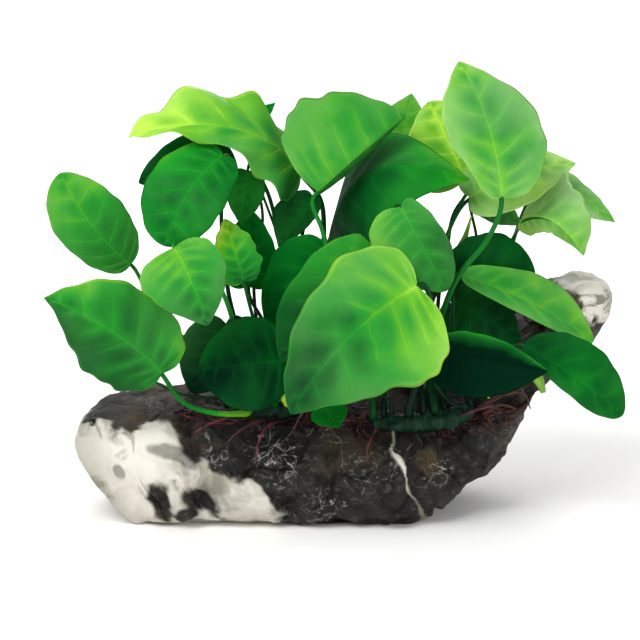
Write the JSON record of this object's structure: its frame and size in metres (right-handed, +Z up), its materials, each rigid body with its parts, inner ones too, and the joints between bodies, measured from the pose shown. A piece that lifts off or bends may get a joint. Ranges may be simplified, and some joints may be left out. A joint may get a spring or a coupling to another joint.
{
  "type": "anubias on stone",
  "caption": "Aquarium plant with broad green leaves on rhizomes rooted to a dark, white-veined rock that stands on its flat underside.",
  "frame": {"origin": "on the flat underside of the stone, below the middle of the plant", "axes": "+Z up, +X along the stone towards its raised end, -Y the front"},
  "size_m": [0.2458, 0.1108, 0.1981],
  "materials": {
    "stone": "rough dark slate with white quartz bands and cracks",
    "rhizome": "ringed dark green stem",
    "root": "thin red-brown roots",
    "bud": "fresh yellow-green bud",
    "leaf_pale": "satin lime-green leaf with paler veins",
    "leaf_mid": "satin mid-green leaf",
    "leaf_dark": "satin dark green leaf"
  },
  "bodies": {
    "root": {"stone": "stone", "rhizome_left": "rhizome", "rhizome_right": "rhizome", "rhizome_back": "rhizome", "root_left_crown": "root", "root_left_cross": "root", "root_left_front": "root", "root_left_hanging": "root", "root_middle_front": "root", "root_middle_hanging": "root", "root_right_pink": "root", "root_right_orange": "root", "root_right_fork": "root", "bud_left_yellow": "bud", "bud_right_green": "bud", "shoot_right_pointed": "bud", "shoot_centre_purple": "bud", "leaf_front": "leaf_pale", "leaf_front_behind": "leaf_mid", "leaf_centre_left": "leaf_dark", "leaf_low_left_round": "leaf_dark", "leaf_low_left_shaded": "leaf_dark", "leaf_low_centre_young": "leaf_dark", "leaf_far_left": "leaf_mid", "leaf_far_left_low": "leaf_pale", "leaf_far_left_shaded": "leaf_dark", "leaf_left_pale": "leaf_pale", "leaf_left_small": "leaf_pale", "leaf_left_upper": "leaf_mid", "leaf_left_teal": "leaf_dark", "leaf_left_round": "leaf_dark", "leaf_left_rear": "leaf_dark", "leaf_top_left": "leaf_pale", "leaf_top_left_young": "leaf_dark", "leaf_top_centre": "leaf_mid", "leaf_top_centre_rear": "leaf_dark", "leaf_centre_arched": "leaf_dark", "leaf_centre_folded": "leaf_dark", "leaf_centre_heart": "leaf_mid", "leaf_top_right": "leaf_pale", "leaf_top_right_rear": "leaf_pale", "leaf_right_rear": "leaf_pale", "leaf_right_shaded": "leaf_dark", "leaf_right_drooping": "leaf_pale", "leaf_right_outer": "leaf_mid", "leaf_right_dark": "leaf_dark", "leaf_over_horn": "leaf_mid", "leaf_right_inner": "leaf_dark", "leaf_low_right_rolled": "leaf_dark", "leaf_low_right": "leaf_dark"}
  },
  "joints": []
}
